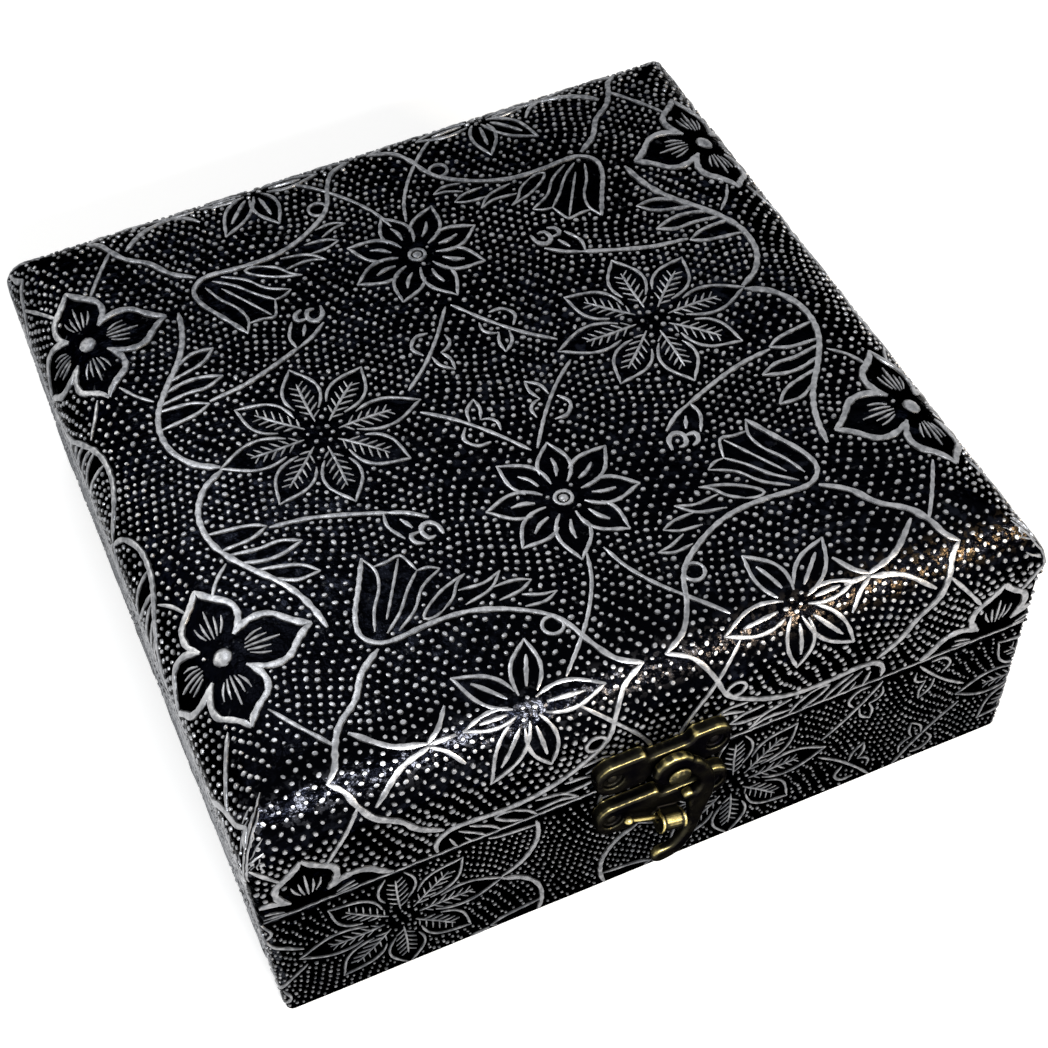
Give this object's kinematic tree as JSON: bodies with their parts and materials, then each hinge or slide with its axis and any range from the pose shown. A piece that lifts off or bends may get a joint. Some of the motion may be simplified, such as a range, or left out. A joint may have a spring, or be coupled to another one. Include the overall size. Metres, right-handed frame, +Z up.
{
  "type": "keepsake jewellery box",
  "caption": "Square wooden box clad in embossed metal sheet, velvet lined, with a round-shouldered lid on back hinges and a swing-hook latch at the front.",
  "frame": {"origin": "centre of the box's square plan on the plane it stands on, the underside of its felt", "axes": "+X to the right along the front, +Y to the back where the hinges are, +Z up"},
  "size_m": [0.152, 0.168, 0.064],
  "materials": {
    "embossed_sheet": "embossed silver-coloured sheet, black in the ground and rubbed bright on the raised lines and dots",
    "timber": "plain sawn board, unvarnished",
    "velvet": "short black velvet pile over card",
    "felt": "thin black felt",
    "antique_brass": "cast brass darkened in the hollows and rubbed yellow on the edges"
  },
  "bodies": {
    "base": {"underside_felt": "felt", "base_floor_board": "timber", "base_front_wall": "timber", "base_back_wall": "timber", "base_left_wall": "timber", "base_right_wall": "timber", "base_metal_sheet": "embossed_sheet", "base_lining_floor": "velvet", "base_lining_front": "velvet", "base_lining_back": "velvet", "base_lining_left": "velvet", "base_lining_right": "velvet", "hinge_base_leaf_left": "antique_brass", "hinge_base_leaf_right": "antique_brass", "hinge_pin_left": "antique_brass", "hinge_pin_right": "antique_brass", "hinge_base_nail_left_outer": "antique_brass", "hinge_base_nail_left_inner": "antique_brass", "hinge_base_nail_right_outer": "antique_brass", "hinge_base_nail_right_inner": "antique_brass", "keeper_plate": "antique_brass", "keeper_ball_pin": "antique_brass", "keeper_plate_nail_left": "antique_brass", "keeper_plate_nail_right": "antique_brass"},
    "lid": {"lid_top_board": "timber", "lid_front_wall": "timber", "lid_back_wall": "timber", "lid_left_wall": "timber", "lid_right_wall": "timber", "lid_metal_sheet": "embossed_sheet", "lid_lining_top": "velvet", "lid_lining_front": "velvet", "lid_lining_back": "velvet", "lid_lining_left": "velvet", "lid_lining_right": "velvet", "hinge_lid_leaf_left": "antique_brass", "hinge_lid_leaf_right": "antique_brass", "hinge_lid_nail_left_outer": "antique_brass", "hinge_lid_nail_left_inner": "antique_brass", "hinge_lid_nail_right_outer": "antique_brass", "hinge_lid_nail_right_inner": "antique_brass", "latch_plate": "antique_brass", "latch_plate_nail_left": "antique_brass", "latch_plate_nail_right": "antique_brass", "latch_rivet": "antique_brass"},
    "latch_hook": {"latch_hook": "antique_brass"}
  },
  "joints": [
    {"name": "lid_hinge", "type": "hinge", "parent": "base", "child": "lid", "pos_m": [0, 0.0789, 0.035], "axis": [-1, 0, 0], "range_deg": [0, 105]},
    {"name": "hook_pivot", "type": "hinge", "parent": "lid", "child": "latch_hook", "pos_m": [0.0008, -0.0809, 0.0394], "axis": [0, -1, 0], "range_deg": [0, 120]}
  ]
}
